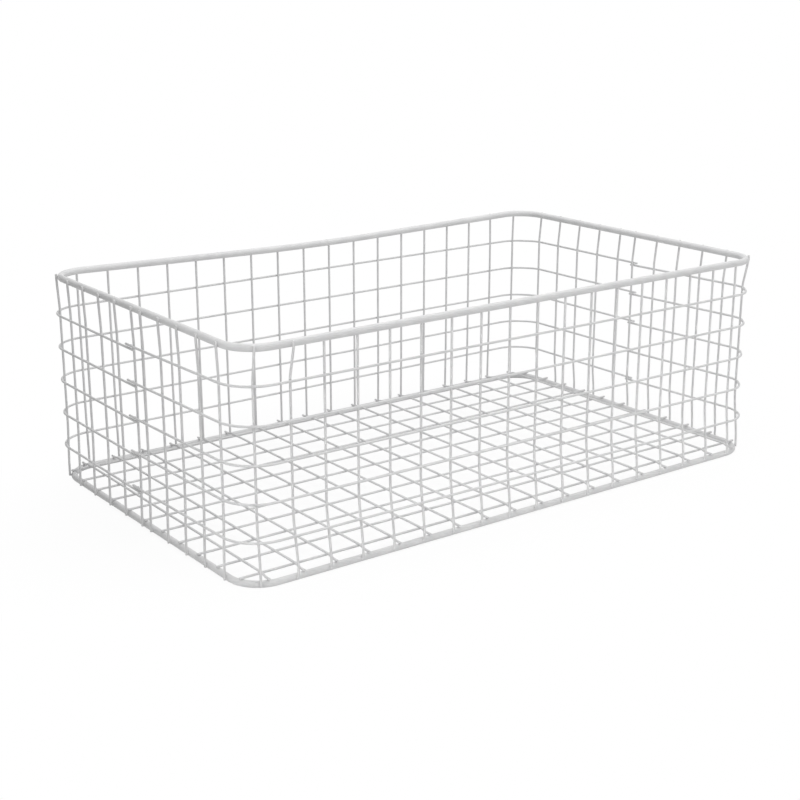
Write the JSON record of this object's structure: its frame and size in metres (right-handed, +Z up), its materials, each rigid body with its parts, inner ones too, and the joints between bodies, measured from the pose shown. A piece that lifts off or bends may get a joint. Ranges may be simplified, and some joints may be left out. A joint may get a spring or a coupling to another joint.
{
  "type": "wire basket",
  "caption": "Open rectangular storage basket of white coated welded wire: heavy rim and base ring, grid walls of upright and line wires, and a grid floor that lets air and water through.",
  "frame": {"origin": "on the ground under the middle of the basket", "axes": "+X along the length, +Y from the front long side to the rear, +Z up out of the open top"},
  "size_m": [0.613, 0.368, 0.206],
  "materials": {
    "coated_wire": "satin white powder coat"
  },
  "bodies": {
    "root": {"base_ring": "coated_wire", "top_rim": "coated_wire", "front_upright_01": "coated_wire", "front_upright_02": "coated_wire", "front_upright_03": "coated_wire", "front_upright_04": "coated_wire", "front_upright_05": "coated_wire", "front_upright_06": "coated_wire", "front_upright_07": "coated_wire", "front_upright_08": "coated_wire", "front_upright_09": "coated_wire", "front_line_wire_1": "coated_wire", "front_line_wire_2_left_uprights": "coated_wire", "front_line_wire_3_side_uprights": "coated_wire", "front_line_wire_4_right_uprights": "coated_wire", "front_line_wire_5": "coated_wire", "rear_upright_01": "coated_wire", "rear_upright_02": "coated_wire", "rear_upright_03": "coated_wire", "rear_upright_04": "coated_wire", "rear_upright_05": "coated_wire", "rear_upright_06": "coated_wire", "rear_upright_07": "coated_wire", "rear_upright_08": "coated_wire", "rear_upright_09": "coated_wire", "rear_line_wire_1": "coated_wire", "rear_line_wire_2_right_uprights": "coated_wire", "rear_line_wire_3_side_uprights": "coated_wire", "rear_line_wire_4_left_uprights": "coated_wire", "rear_line_wire_5": "coated_wire", "floor_long_wire_01": "coated_wire", "floor_long_wire_02": "coated_wire", "floor_long_wire_03": "coated_wire", "floor_long_wire_04": "coated_wire", "floor_long_wire_05": "coated_wire", "floor_long_wire_06": "coated_wire", "floor_long_wire_07": "coated_wire", "floor_long_wire_08": "coated_wire", "floor_long_wire_09": "coated_wire", "floor_long_wire_10": "coated_wire", "floor_long_wire_11": "coated_wire", "floor_cross_wire_01": "coated_wire", "floor_cross_wire_02": "coated_wire", "floor_cross_wire_03": "coated_wire", "floor_cross_wire_04": "coated_wire", "floor_cross_wire_05": "coated_wire", "floor_cross_wire_06": "coated_wire", "floor_cross_wire_07": "coated_wire", "floor_cross_wire_08": "coated_wire", "floor_cross_wire_09": "coated_wire", "floor_cross_wire_10": "coated_wire", "floor_cross_wire_11": "coated_wire", "floor_cross_wire_12": "coated_wire", "floor_cross_wire_13": "coated_wire", "floor_cross_wire_14": "coated_wire", "floor_cross_wire_15": "coated_wire", "floor_cross_wire_16": "coated_wire", "floor_cross_wire_17": "coated_wire", "floor_cross_wire_18": "coated_wire"}
  },
  "joints": []
}
